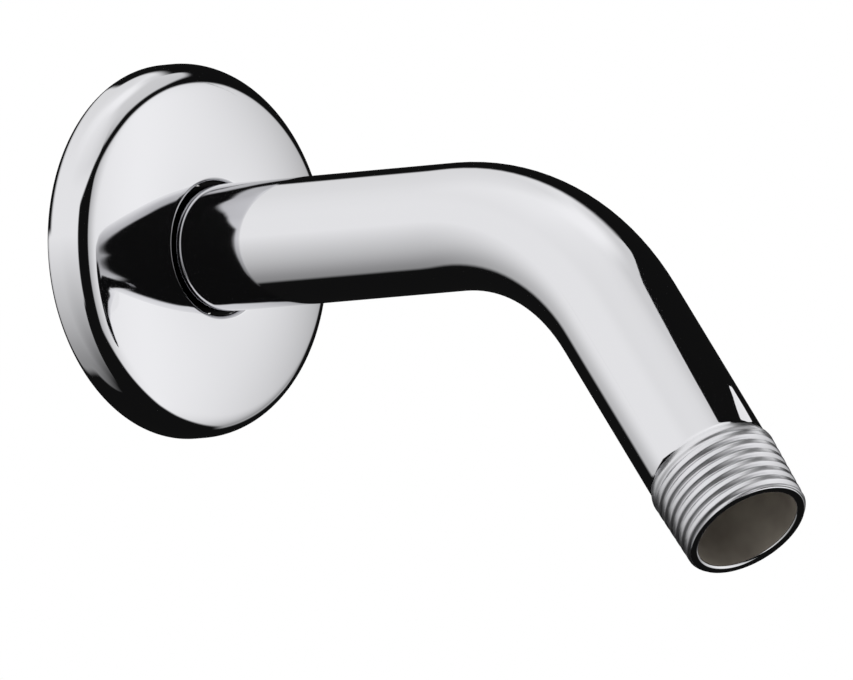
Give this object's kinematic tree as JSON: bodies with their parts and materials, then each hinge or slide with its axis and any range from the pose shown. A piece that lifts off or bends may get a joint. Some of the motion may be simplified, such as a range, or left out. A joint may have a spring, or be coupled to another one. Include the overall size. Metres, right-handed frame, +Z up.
{
  "type": "shower arm",
  "caption": "Bent chrome shower arm with a threaded inlet and outlet and a round domed wall flange that slides on its straight run.",
  "frame": {"origin": "where the arm's axis crosses the finished wall, at the middle of the flange's back rim", "axes": "+X out of the wall along the straight run, +Z up, the arm bends down in the XZ plane"},
  "size_m": [0.1474, 0.0588, 0.0868],
  "materials": {
    "arm_chrome": "polished chrome plate on brass tube, bare inside the bore",
    "flange_chrome": "polished chrome plate on drawn sheet"
  },
  "bodies": {
    "arm": {"arm": "arm_chrome"},
    "flange": {"flange": "flange_chrome"}
  },
  "joints": [
    {"name": "flange_slide", "type": "slide", "parent": "arm", "child": "flange", "axis": [1, 0, 0], "range_m": [0, 0.05]}
  ]
}
